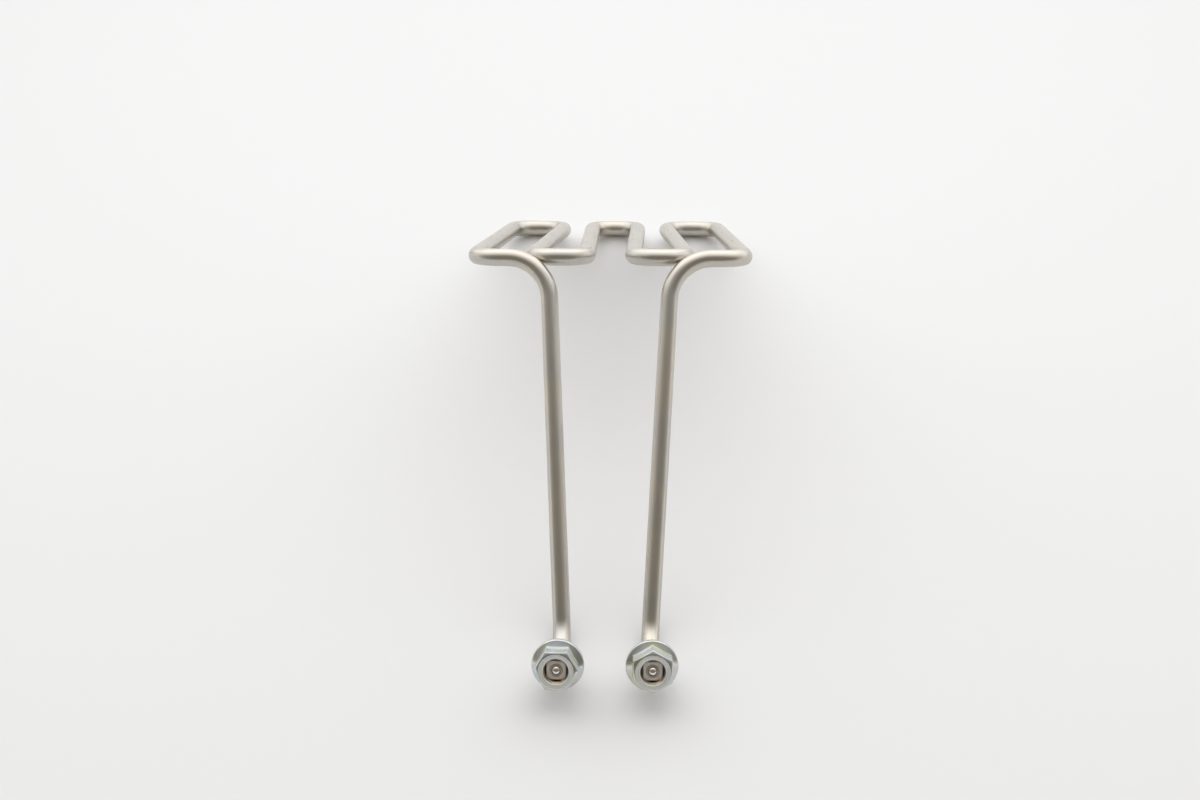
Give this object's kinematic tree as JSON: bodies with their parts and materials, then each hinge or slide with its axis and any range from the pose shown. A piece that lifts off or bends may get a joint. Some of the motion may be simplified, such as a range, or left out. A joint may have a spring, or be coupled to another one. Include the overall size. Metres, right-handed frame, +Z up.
{
  "type": "tubular heating element",
  "caption": "Tubular heating element: a steel sheath bent into a flat serpentine and two legs, with flange nuts on threaded bushes at its terminals.",
  "frame": {"origin": "on the table under the middle of the element, centred on its plan", "axes": "+X to the right seen from the terminals, +Y from the terminals to the serpentine's back bars, +Z up"},
  "size_m": [0.1402, 0.3308, 0.114],
  "materials": {
    "sheath": "satin stainless steel",
    "filling": "compacted mineral powder",
    "coil": "resistance wire",
    "bush": "turned and nickel-plated",
    "nut": "bright zinc plating with a blue and yellow passivated tint",
    "ceramic": "glazed ceramic",
    "seal": "cured resin",
    "pin": "bright nickel-plated steel"
  },
  "bodies": {
    "root": {"sheath_tube": "sheath", "insulation_filling": "filling", "resistance_coil": "coil", "left_threaded_bush": "bush", "right_threaded_bush": "bush", "left_flange_nut": "nut", "right_flange_nut": "nut", "left_insulator_bead": "ceramic", "right_insulator_bead": "ceramic", "left_end_seal": "seal", "right_end_seal": "seal", "left_terminal_pin": "pin", "right_terminal_pin": "pin"}
  },
  "joints": []
}
